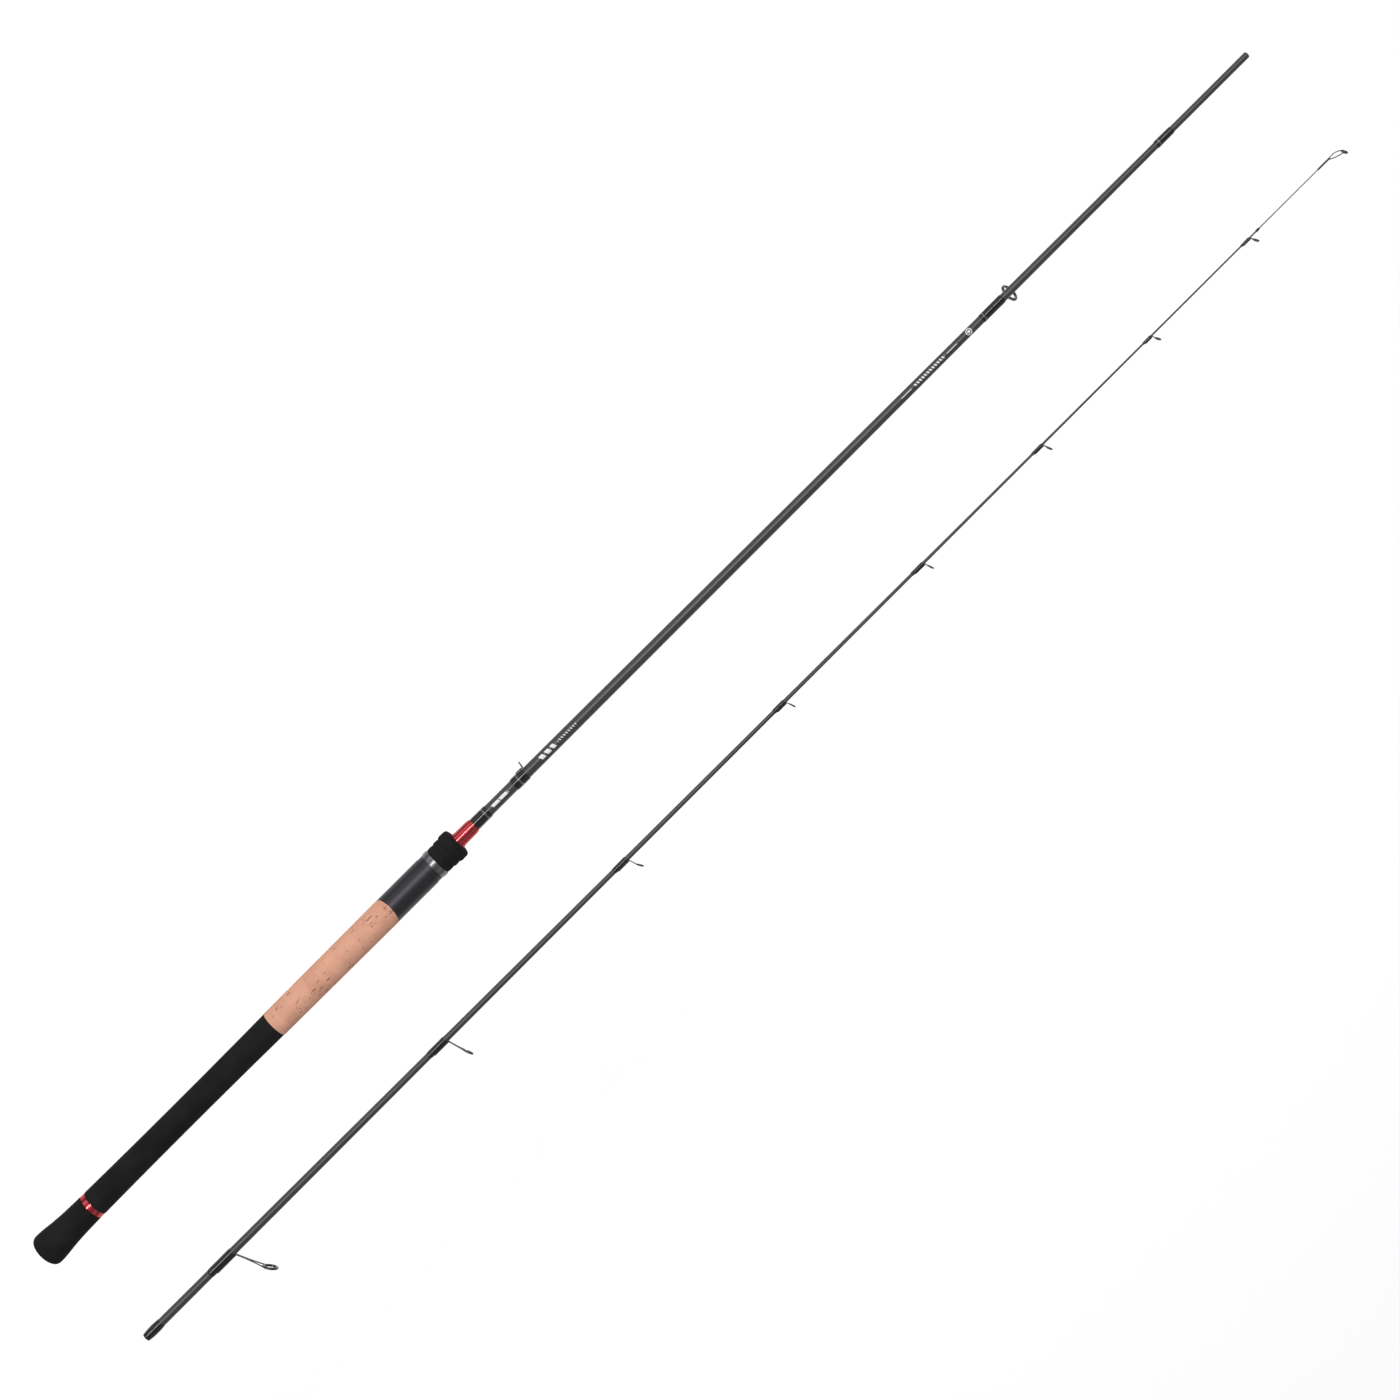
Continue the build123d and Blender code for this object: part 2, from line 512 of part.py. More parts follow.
# ---- Tip section, built with its axis on X and its butt end at X = 0, guides down ----
sleeve_bore = FERRULE_RADIUS + RUN
sleeve_outer = sleeve_bore + SLEEVE_WALL
ferrule_sleeve = turned([
    (0, sleeve_bore), (SLEEVE_LENGTH, sleeve_bore), (SLEEVE_LENGTH, sleeve_outer), (0, sleeve_outer)])
TIP_STATIONS = tuple((share * TIP_BLANK_LENGTH, r) for share, r in TIP_TAPER)
splice_x = TIP_BLANK_LENGTH
SOLID_TIP_END = splice_x + SOLID_TIP_LENGTH
tip_outer = turned([(0, 0), (splice_x, 0)] + [(x, r) for x, r in reversed(TIP_STATIONS)])
splice_start = splice_x - SPLICE_DEPTH
splice_radius = TIP_STATIONS[-1][1] * (1 - TIP_WALL_SHARE) - 0.02
bore_points = [(x, r * (1 - TIP_WALL_SHARE)) for x, r in TIP_STATIONS[1:]]
cup_end = SLEEVE_LENGTH + RUN
tip_bore = turned(
    [(-1, 0), (splice_x + 1, 0), (splice_x + 1, splice_radius + 0.02)]
    + list(reversed(bore_points))
    + [(cup_end, sleeve_bore), (cup_end, sleeve_outer + RUN), (-1, sleeve_outer + RUN)])
tip_blank = tip_outer - tip_bore

solid_tip = turned([
    (splice_start, 0), (SOLID_TIP_END - 1, 0), (SOLID_TIP_END - 1, SOLID_TIP_END_RADIUS),
    (splice_x, SOLID_TIP_RADIUS), (splice_x, splice_radius), (splice_start, splice_radius)]) - (
    tip_outer - tip_bore)

splice_rear = splice_x - SPLICE_WRAP_LENGTH * 0.6
splice_front = splice_rear + SPLICE_WRAP_LENGTH
splice_wrap = turned_wire(
    ThreePointArc((splice_rear, 0.72), (splice_x - SPLICE_WRAP_LENGTH * 0.1, 1.15), (splice_front, 0.6)),
    Line((splice_front, 0.6), (splice_front, 0)), Line((splice_front, 0), (splice_rear, 0)),
    Line((splice_rear, 0), (splice_rear, 0.72))) - tip_outer - solid_tip

wrap_crown = CUP_RADIUS + FERRULE_WRAP_HEIGHT
ferrule_wrap = turned_wire(
    Line((0.2, 0), (0.2, CUP_RADIUS - 0.02)),
    ThreePointArc((0.2, CUP_RADIUS - 0.02), (FERRULE_WRAP_LENGTH * 0.55, wrap_crown),
                  (FERRULE_WRAP_LENGTH, CUP_RADIUS + 0.22)),
    Line((FERRULE_WRAP_LENGTH, CUP_RADIUS + 0.22), (FERRULE_WRAP_LENGTH, 0)),
    Line((FERRULE_WRAP_LENGTH, 0), (0.2, 0))) - tip_outer

# ---- Tip top: a tube on the end of the tip, a ring and its brace wires ----
tube_start = SOLID_TIP_END - TIP_TOP_TUBE_LENGTH
tube_radius = SOLID_TIP_RADIUS + 0.35
top_outer = TIP_TOP_RING / 2
top_bore = top_outer - TIP_TOP_HOOP_WALL
hoop_middle = top_outer - TIP_TOP_HOOP_WALL / 2
top_centre = Vector(SOLID_TIP_END + TIP_TOP_REACH, 0, -TIP_TOP_DROP)
top_out = Vector(math.sin(TIP_TOP_TILT), 0, -math.cos(TIP_TOP_TILT))
top_plane = Plane(
    origin=top_centre, x_dir=(0, 1, 0), z_dir=(math.cos(TIP_TOP_TILT), 0, math.sin(TIP_TOP_TILT)))
top_hoop = top_plane * (Cylinder(top_outer, 0.9) - Cylinder(top_bore, 2))
near = top_centre - top_out * hoop_middle
tube_hole = rod(tube_start - 1, SOLID_TIP_END - 1, SOLID_TIP_RADIUS)
tip_top_frame = rod(tube_start, SOLID_TIP_END, tube_radius) - tube_hole
tip_top_frame += wire((SOLID_TIP_END - 0.5, 0, 0), (SOLID_TIP_END + 7, 0, -0.1), near, BRACE_RADIUS)
for side in (-1, 1):
    hold = top_centre + Vector(0, side * hoop_middle, 0)
    tip_top_frame += wire((SOLID_TIP_END - 1, side * 0.45, -0.6), (SOLID_TIP_END + 6, side * 1.4, -3.6),
                          hold, BRACE_RADIUS - 0.06)
tip_top_frame = tip_top_frame + top_hoop - top_plane * Cylinder(top_bore, 4)
tip_top_frame -= tube_hole
top_section = Pos(top_bore - 0.4, 0) * RectangleRounded(0.8, 1.35, 0.28)
tip_top_ring = top_plane * revolve(Plane.XZ * top_section, Axis.Z)

tip_nodes = {
    "ferrule_sleeve": ferrule_sleeve,
    "tip_blank": tip_blank,
    "ferrule_wrap": ferrule_wrap,
    "solid_tip": solid_tip,
    "splice_wrap": splice_wrap,
    "tip_top_frame": tip_top_frame,
    "tip_top_ring": tip_top_ring,
}
for number, spec in enumerate(TIP_GUIDES, 2):
    tip_nodes.update(guide_nodes(number, spec, TIP_STATIONS, tip_outer))

butt_nodes = {
    "butt_blank": butt_blank,
    "butt_knob": butt_knob,
    "knob_ring": knob_ring,
    "rear_grip": rear_grip,
    "cork_rings": cork_rings,
    "reel_seat": reel_seat,
    "seat_arbors": seat_arbors,
    "sliding_hood": sliding_hood,
    "lock_nut": lock_nut,
    "nut_ring": nut_ring,
    "foregrip": foregrip,
    "winding_check": winding_check,
    "check_wrap": check_wrap,
    "hook_keeper": hook_keeper,
    "keeper_wrap": keeper_wrap,
    "stop_wrap": stop_wrap,
    "butt_bands": butt_bands,
    **butt_guide,
}

os.makedirs("parts", exist_ok=True)
for name, shape in butt_nodes.items():
    export_step(shape, f"parts/{name}.step")
# beside the butt section the tip section lies rolled a quarter turn, its guides towards -Y
as_it_lies = Pos(BUTT_END + TIP_SETBACK, -TIP_SPACING, 0) * Rot(-90, 0, 0)
for name, shape in tip_nodes.items():
    export_step(as_it_lies * shape, f"parts/{name}.step")
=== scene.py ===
import math
import random

import bmesh
import bpy
from mathutils import Euler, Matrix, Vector


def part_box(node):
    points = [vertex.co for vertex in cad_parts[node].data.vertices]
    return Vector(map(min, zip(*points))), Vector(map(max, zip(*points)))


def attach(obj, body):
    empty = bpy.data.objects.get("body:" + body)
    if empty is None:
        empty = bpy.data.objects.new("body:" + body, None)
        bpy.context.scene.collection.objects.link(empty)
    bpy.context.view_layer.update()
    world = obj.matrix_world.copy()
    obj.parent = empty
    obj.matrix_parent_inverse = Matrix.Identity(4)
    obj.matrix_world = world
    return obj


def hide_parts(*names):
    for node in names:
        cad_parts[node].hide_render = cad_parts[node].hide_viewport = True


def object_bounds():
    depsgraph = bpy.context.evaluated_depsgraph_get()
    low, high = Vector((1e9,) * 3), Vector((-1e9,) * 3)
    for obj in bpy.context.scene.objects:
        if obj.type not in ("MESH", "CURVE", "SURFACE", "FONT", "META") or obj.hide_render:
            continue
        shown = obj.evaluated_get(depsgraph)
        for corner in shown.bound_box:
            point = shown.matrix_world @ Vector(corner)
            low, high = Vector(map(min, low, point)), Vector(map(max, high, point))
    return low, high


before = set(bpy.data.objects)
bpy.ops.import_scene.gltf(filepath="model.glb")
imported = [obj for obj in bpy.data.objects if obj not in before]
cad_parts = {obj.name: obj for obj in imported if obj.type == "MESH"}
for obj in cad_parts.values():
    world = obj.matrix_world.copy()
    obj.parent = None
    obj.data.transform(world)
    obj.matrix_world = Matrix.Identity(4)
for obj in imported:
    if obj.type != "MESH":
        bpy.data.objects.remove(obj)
cad_low, cad_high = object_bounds()
MM = 0.001


# ---- The stage ----
# The two sections lie side by side and are seen from straight above, over a wide pale floor that is
# far enough below to stay free of their shadows. A narrow box above draws the streak of light along
# them, wider ones fill both sides, and one under them lights only the floor.
middle = (cad_low + cad_high) / 2
CAMERA_HEIGHT = 2.017
CAMERA_SHIFT = (0.0053, 0.0067)
CAMERA_TURN = math.radians(-44.91)
FLOOR_DROP = 1.10
FLOOR_SIZE = 40
SKY_STRENGTH = 0.22         # what lights the pieces
BACKDROP = (0.92, 0.92, 0.92, 1)    # what the camera sees past the floor's edge
camera = bpy.data.objects.new("camera", bpy.data.cameras.new("camera"))
bpy.context.collection.objects.link(camera)
camera.data.sensor_width = 36
camera.data.lens = 63.2
camera.location = (middle.x + CAMERA_SHIFT[0], middle.y + CAMERA_SHIFT[1], CAMERA_HEIGHT)
camera.rotation_euler = Euler((0, 0, CAMERA_TURN))
bpy.context.scene.camera = camera

bpy.ops.mesh.primitive_grid_add(x_subdivisions=4, y_subdivisions=4, size=FLOOR_SIZE)
floor = bpy.context.object
floor.name = "floor"
floor.location = (middle.x, middle.y, cad_low.z - FLOOR_DROP)
floor_finish = bpy.data.materials.new("floor_finish")
floor_finish.use_nodes = True
floor_shader = floor_finish.node_tree.nodes["Principled BSDF"]
floor_shader.inputs["Base Color"].default_value = (0.90, 0.90, 0.90, 1)
floor_shader.inputs["Roughness"].default_value = 1.0
floor_shader.inputs["Specular IOR Level"].default_value = 0.0
floor.data.materials.append(floor_finish)

world = bpy.data.worlds.new("studio")
world.use_nodes = True
sky_nodes, sky_link = world.node_tree.nodes, world.node_tree.links.new
sky = sky_nodes["Background"]
sky.inputs["Color"].default_value = (1.0, 1.0, 1.0, 1)
sky.inputs["Strength"].default_value = SKY_STRENGTH
backdrop = sky_nodes.new("ShaderNodeBackground")
backdrop.inputs["Color"].default_value = BACKDROP
seen = sky_nodes.new("ShaderNodeLightPath")
choice = sky_nodes.new("ShaderNodeMixShader")
sky_link(seen.outputs["Is Camera Ray"], choice.inputs["Fac"])
sky_link(sky.outputs[0], choice.inputs[1])
sky_link(backdrop.outputs[0], choice.inputs[2])
sky_link(choice.outputs[0], sky_nodes["World Output"].inputs["Surface"])
bpy.context.scene.world = world
bpy.context.scene.view_settings.view_transform = "Standard"


def soft_box(name, place, size, power, aim=(0, 0, 0)):
    """A rectangular lamp, its long side along the rod. Place and aim are from the object's middle."""
    lamp = bpy.data.lights.new(name, "AREA")
    lamp.shape = "RECTANGLE"
    lamp.size, lamp.size_y = size
    lamp.energy = power
    holder = bpy.data.objects.new(name, lamp)
    bpy.context.collection.objects.link(holder)
    holder.location = middle + Vector(place)
    holder.rotation_euler = (Vector(place) - Vector(aim)).to_track_quat("Z", "Y").to_euler()
    holder.visible_camera = False


soft_box("key_strip", (0, 0.64, 2.2), (4.4, 0.22), 54)
soft_box("side_fill", (0, 2.4, 1.5), (4.4, 1.2), 14)
soft_box("low_fill", (0, -2.4, 1.6), (4.4, 1.0), 4)
soft_box("floor_glow", (0, 0, -0.12), (16.0, 16.0), 430, aim=(0, 0, -1))


# ---- Blanks ----
# Thin carbon tubes, rolled on a tapered steel core under tight tape, which leaves fine ridges
# around them, then clear-coated satin. White marks are printed on the back of the butt blank.
class Wire:
    """One output of a shader node, or of arithmetic on such outputs."""

    def __init__(self, finish, socket):
        self.finish, self.socket = finish, socket

    def sum(self, operation, *others):
        return self.finish.node("ShaderNodeMath", {i: v for i, v in enumerate((self, *others))},
                                operation=operation)

    def __add__(self, other):
        return self.sum("ADD", other)

    def __sub__(self, other):
        return self.sum("SUBTRACT", other)

    def __mul__(self, other):
        return self.sum("MULTIPLY", other)

    def __truediv__(self, other):
        return self.sum("DIVIDE", other)

    def __rsub__(self, other):
        return self.finish.node("ShaderNodeMath", {0: other, 1: self}, operation="SUBTRACT")

    def __gt__(self, other):
        return self.sum("GREATER_THAN", other)

    def __lt__(self, other):
        return self.sum("LESS_THAN", other)

    def __abs__(self):
        return self.sum("ABSOLUTE")

    __radd__ = __add__

    def wave(self, pitch):
        """A smooth ripple from 0 to 1 with this pitch."""
        return (self * (2 * math.pi / pitch)).sum("SINE") * 0.5 + 0.5

    def repeat(self, pitch):
        """The place within each pitch, from 0 to the pitch."""
        return self.sum("FLOORED_MODULO", pitch)

    def step(self, low, high):
        """0 below low, 1 above high, smooth between them."""
        return self.finish.node("ShaderNodeMapRange", {
            "Value": self, "From Min": low, "From Max": high}, interpolation_type="SMOOTHSTEP")

    def within(self, low, high):
        return (self > low) * (self < high)


class Finish:
    """A material that is being written: its nodes and the shader that they feed."""

    def __init__(self, name, **fixed):
        self.material = bpy.data.materials.new(name)
        self.material.use_nodes = True
        self.tree = self.material.node_tree
        self.shader = self.tree.nodes["Principled BSDF"]
        for socket, value in fixed.items():
            self.shader.inputs[socket.replace("_", " ")].default_value = value
        self.place = self.node("ShaderNodeTexCoord", {}, output="Object")
        self.x, self.y, self.z = (
            self.node("ShaderNodeSeparateXYZ", {0: self.place}, output=i) for i in range(3))

    def node(self, kind, sockets, output=0, **settings):
        made = self.tree.nodes.new(kind)
        for setting, value in settings.items():
            setattr(made, setting, value)
        for socket, value in sockets.items():
            if isinstance(value, Wire):
                self.tree.links.new(value.socket, made.inputs[socket])
            else:
                made.inputs[socket].default_value = value
        return Wire(self, made.outputs[output])

    def stretched(self, along, around=1.0):
        """The place on the object, scaled along X and across it."""
        return self.node("ShaderNodeMapping", {
            "Vector": self.place, "Scale": (along, around, around)})

    def noise(self, size, detail=2.0, roughness=0.5, place=None):
        """Cloudy noise from 0 to 1 whose lumps are about size metres."""
        return self.node("ShaderNodeTexNoise", {
            "Vector": place or self.place, "Scale": 1 / size, "Detail": detail, "Roughness": roughness})

    def cells(self, size, place=None):
        """Distance from the nearest point of a scatter that is about size metres apart."""
        return self.node("ShaderNodeTexVoronoi", {"Vector": place or self.place, "Scale": 1 / size})

    def blend(self, share, first, second):
        """Between two colours, by a share from 0 to 1."""
        def full(value):
            return value if isinstance(value, Wire) else (*value, 1)
        return self.node("ShaderNodeMix", {"Factor": share, 6: full(first), 7: full(second)},
                         output=2, data_type="RGBA")

    def bump(self, height, distance, strength=1.0):
        return self.node("ShaderNodeBump", {
            "Height": height, "Distance": distance, "Strength": strength})

    def feed(self, **sockets):
        for socket, wire in sockets.items():
            self.tree.links.new(wire.socket, self.shader.inputs[socket.replace("_", " ")])
        return self.material


def wear(node, material):
    """Gives a piece from the frame its finish."""
    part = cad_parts[node]
    part.data.materials.clear()
    part.data.materials.append(material)


ROUND = 96                  # sides of a turned piece


def centre_line(node):
    """A point on the axis of a turned piece."""
    low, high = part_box(node)
    return (low + high) / 2


def outline(node):
    """(x, radius) stations of a turned piece's outer surface, read from the frame."""
    axis = centre_line(node)
    radii = {}
    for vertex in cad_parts[node].data.vertices:
        station = round(vertex.co.x, 5)
        radius = math.hypot(vertex.co.y - axis.y, vertex.co.z - axis.z)
        radii.setdefault(station, []).append(radius)
    return [(x, max(radii[x])) for x in sorted(radii)]


def tapered(stations):
    """Only the stations of an outline that nothing further on is wider than: the bore's are left out."""
    return [(x, radius) for i, (x, radius) in enumerate(stations)
            if radius >= max(far for _, far in stations[i:]) - 1e-6]


def new_piece(name, mesh, body, *nodes, slot, material, smooth=35):
    """Links a finished mesh, and says what it rides on and which pieces of the frame it stands for."""
    piece = bpy.data.objects.new(name, mesh)
    bpy.context.collection.objects.link(piece)
    mesh.shade_smooth()
    mesh.set_sharp_from_angle(angle=math.radians(smooth))
    mesh.materials.clear()
    mesh.materials.append(material)
    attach(piece, body)
    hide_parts(*nodes)


def lathe(name, stations, axis):
    """A closed skin turned about X through axis, from one end's (x, radius) station to the other's."""
    form = bmesh.new()
    rings = []
    turn = [2 * math.pi * i / ROUND for i in range(ROUND)]
    for x, radius in stations:
        if radius < 1e-6:
            rings.append([form.verts.new((x, axis.y, axis.z))])
            continue
        rings.append([form.verts.new((x, axis.y + radius * math.cos(t), axis.z + radius * math.sin(t)))
                      for t in turn])
    for near, far in zip(rings, rings[1:]):
        for i in range(ROUND):
            j = (i + 1) % ROUND
            corners = [near[i % len(near)], near[j % len(near)], far[j % len(far)], far[i % len(far)]]
            form.faces.new(list(dict.fromkeys(corners)))
    bmesh.ops.remove_doubles(form, verts=form.verts, dist=1e-7)
    bmesh.ops.recalc_face_normals(form, faces=form.faces)
    mesh = bpy.data.meshes.new(name)
    form.to_mesh(mesh)
    form.free()
    return mesh


def finer(stations, longest):
    """The same outline with more stations, none further apart than longest."""
    fine = [stations[0]]
    for (x0, r0), (x1, r1) in zip(stations, stations[1:]):
        count = max(1, math.ceil(abs(x1 - x0) / longest))
        fine += [(x0 + (x1 - x0) * i / count, r0 + (r1 - r0) * i / count)
                 for i in range(1, count + 1)]
    return fine


def tube_outline(outer, wall_share, end_round=0.0002):
    """A closed outline of a tube: its outer stations, rounded ends and its bore."""
    (x0, r0), *inside, (x1, r1) = outer
    bore = [(x, r * (1 - wall_share)) for x, r in reversed([(x0, r0), *inside, (x1, r1)])]
    cut = end_round * 0.3
    near_end = [(x0, r0 - end_round), (x0 + cut, r0 - cut), (x0 + end_round, r0)]
    far_end = [(x1 - end_round, r1), (x1 - cut, r1 - cut), (x1, r1 - end_round)]
    return near_end + inside + far_end + bore + [near_end[0]]


def carbon(name, marks=None):
    finish = Finish(name, Specular_IOR_Level=0.6)
    drift = finish.noise(9 * MM, place=finish.stretched(0.15))
    tape = (finish.x + drift * (0.9 * MM)).wave(1.25 * MM)
    fibre = finish.noise(0.7 * MM, detail=3, place=finish.stretched(0.02))
    cloud = finish.noise(60 * MM, detail=1)
    shade = tape * 0.34 + fibre * 0.36 + cloud * 0.3
    colour = finish.blend(shade.step(0.25, 0.8), (0.034, 0.034, 0.035), (0.056, 0.056, 0.057))
    roughness = 0.29 + fibre * 0.13
    if marks:
        mask = marks(finish)
        colour = finish.blend(mask, colour, (0.82, 0.82, 0.82))
        roughness = roughness + mask * 0.1
    height = tape * 0.8 + fibre * 0.2
    return finish.feed(Base_Color=colour, Roughness=roughness,
                       Normal=finish.bump(height, 0.012 * MM, 0.5))


def printed_marks(finish):
    """Plain print on the back of the blank: bars, a dashed row between two lines, and a ring."""
    back = finish.z > 0
    x, y = finish.x, finish.y
    lean = x + y * 0.45

    def dashes(along, start, end, half_width, pitch, dash):
        """A row of slanted dashes, from start to end along the blank."""
        return (along.within(start * MM, end * MM) * (abs(y) < half_width * MM)
                * (lean.repeat(pitch * MM) < dash * MM))

    badge = dashes(lean, 91.5, 109.5, 1.35, 9.1, 8.2)
    bars = dashes(lean, 145, 163.5, 2.0, 6.4, 4.2)
    ticks = dashes(x, 167, 188, 0.9, 2.6, 0.9)
    lines = (x.within(564.6 * MM, 576 * MM) + x.within(617 * MM, 628.6 * MM)) * (abs(y) < 0.28 * MM)
    row = dashes(x, 579, 614.7, 1.1, 2.9, 1.5)
    from_ring = x - 642.5 * MM
    reach = (from_ring * from_ring + y * y).sum("SQRT")
    ring = (reach < 2.9 * MM) - (reach < 2.1 * MM) + (reach < 1.3 * MM)
    return (badge + bars + ticks + lines + row + ring).sum("MINIMUM", 1.0) * back


BLANK_STEP = 6 * MM
BUTT_WALL_SHARE = 0.26
MALE_STEP_REACH = 0.02 * MM     # the blank steps down to the male ferrule over this length
SLEEVE_CLEARANCE = 0.04 * MM
TIP_BORE = 2.2 * MM             # radius of the tip's bore ahead of the ferrule's sleeve
TIP_BORE_STRAIGHT = 6 * MM
TIP_BORE_END = 0.45 * MM
TIP_RIM = 0.15 * MM

butt_stations = tapered(outline("butt_blank"))
*_, (male_start, _), (_, male_radius), _ = butt_stations
butt_stations.insert(-2, (male_start + MALE_STEP_REACH, male_radius))
butt_outline = finer(tube_outline(butt_stations, BUTT_WALL_SHARE), BLANK_STEP)
new_piece("butt_tube", lathe("butt_tube", butt_outline, centre_line("butt_blank")),
          "butt_section", "butt_blank", slot="carbon", material=carbon("carbon_butt", printed_marks))

sleeve_low, sleeve_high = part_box("ferrule_sleeve")
cup, cup_end = (sleeve_high.y - sleeve_low.y) / 2 + SLEEVE_CLEARANCE, sleeve_high.x
(mouth, mouth_radius), *tip_body = tapered(outline("tip_blank"))
tip_outer = [(mouth, mouth_radius - TIP_RIM), (mouth + TIP_RIM, mouth_radius), *tip_body]
tip_bore = [(tip_body[-1][0], TIP_BORE_END), (cup_end + TIP_BORE_STRAIGHT, TIP_BORE), (cup_end, TIP_BORE),
            (cup_end, cup), (mouth, cup)]
tip_outline = finer([*tip_outer, *tip_bore, tip_outer[0]], BLANK_STEP)
plain_carbon = carbon("carbon_tip")
new_piece("tip_tube", lathe("tip_tube", tip_outline, centre_line("tip_blank")),
          "tip_section", "tip_blank", slot="carbon", material=plain_carbon)
wear("ferrule_sleeve", plain_carbon)
wear("solid_tip", plain_carbon)


# ---- Foam grips ----
# The butt knob, the rear grip and the foregrip are turned from closed-cell foam and sanded matt:
# near black, with fine open pores in painted shade and a faint bloom of dust and painted sheen.
GRIP_BORE = 5.5 * MM
GRIP_STEP = 4 * MM


def foam():
    finish = Finish("foam", Specular_IOR_Level=0.12)
    pores = finish.cells(0.55 * MM)
    grain = finish.noise(0.35 * MM, detail=4, roughness=0.65)
    dust_and_sheen = finish.noise(18 * MM, detail=3)
    pit_and_its_shade = 1 - pores.step(0.05, 0.42)
    # Painted shade: the colour is darker in the pits that the bump sinks.
    light = (grain.step(0.3, 0.75) * 0.6 + dust_and_sheen.step(0.3, 0.7) * 0.4) * (1 - pit_and_its_shade * 0.6)
    # The bloom lightens the colour in cloudy patches: partly dust, partly painted sheen.
    colour = finish.blend(light, (0.007, 0.007, 0.0072), (0.018, 0.018, 0.0185))
    height = grain * 0.5 - pit_and_its_shade * 0.8
    return finish.feed(Base_Color=colour, Roughness=0.78 + grain * 0.2,
                       Normal=finish.bump(height, 0.12 * MM, 0.7))


grip_foam = foam()
wear("butt_knob", grip_foam)
wear("foregrip", grip_foam)
grip_low, grip_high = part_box("rear_grip")
grip_stations = [(x, radius) for x, radius in outline("rear_grip") if radius > GRIP_BORE + 0.5 * MM]
rear_bore, front_bore = (grip_low.x, GRIP_BORE), (grip_high.x, GRIP_BORE)
grip_outline = finer([rear_bore, *grip_stations, front_bore, rear_bore], GRIP_STEP)
new_piece("rear_grip_foam", lathe("rear_grip_foam", grip_outline, centre_line("rear_grip")),
          "butt_section", "rear_grip", slot="eva_foam", material=grip_foam)


# ---- Cork grip ----
# Thirteen cork rings, glued face to face on the seat's spigot and sanded round: each ring has its
# own tone and its own brown pores, which run along the rod and are painted darker the deeper they
# sink (painted shade), and the glue lines show as fine seams.
CORK_PITCH = 11 * MM
CORK_AROUND = 200
ROWS_A_RING = 24
SEAM_DEPTH, SEAM_REACH = 0.07 * MM, 0.35 * MM
EDGE_DEPTH, EDGE_REACH = 0.25 * MM, 0.5 * MM    # the worn edges at both ends of the grip
REAR_DROP, TAPER = 0.5 * MM, 0.53 * MM          # the grip is thinner at the rear, by its radius
SLANT = math.radians(24.5)                      # of the grip's front edge
SLANT_FROM = 0.75                               # the rings lean over from this share of the length on
PORE_FLARE = 1.6
DEEPEST_PORE = 0.4 * MM
random.seed(7)
cork_low, cork_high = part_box("cork_rings")
cork_outer = (cork_high.y - cork_low.y) / 2
cork_rear_radius = cork_outer - REAR_DROP
slant_reach = 2 * cork_outer * math.tan(SLANT)
cork_length = cork_high.x - cork_low.x
ring_count = math.ceil(cork_length / CORK_PITCH)


def cork_pores():
    """(x, angle, half length, half width, depth, lean) of each pore: few in most rings, many in some."""
    pores = []
    for ring in range(ring_count):
        rough = random.random() < 0.25
        for _ in range(random.randint(30, 44) if rough else random.randint(9, 17)):
            x = cork_low.x + (ring + random.uniform(0.08, 0.92)) * CORK_PITCH
            half_length = random.uniform(0.5, 3.4 if rough else 2.2) * MM
            angle = random.uniform(-math.pi, math.pi)
            half_width = random.uniform(0.18, 0.42) * MM
            depth = random.uniform(0.12, 0.4) * MM
            pores.append((x, angle, half_length, half_width, depth, random.uniform(-0.35, 0.35)))
    return pores


def sunk_at(x, angle, pores):
    """How deep the deepest of these pores is at a point of the cork."""
    sunk = 0.0
    for at, where, half, wide, deep, lean in pores:
        along = (x - at) / half
        if abs(along) >= 1:
            continue
        across = ((angle - where + math.pi) % (2 * math.pi) - math.pi) * cork_outer - lean * (x - at)
        reach = wide * PORE_FLARE
        if abs(across) < reach:
            fall = (1 - along ** 2) * max(0.0, 1 - (across / reach) ** 2)
            sunk = max(sunk, deep * fall ** 0.7)
    return sunk


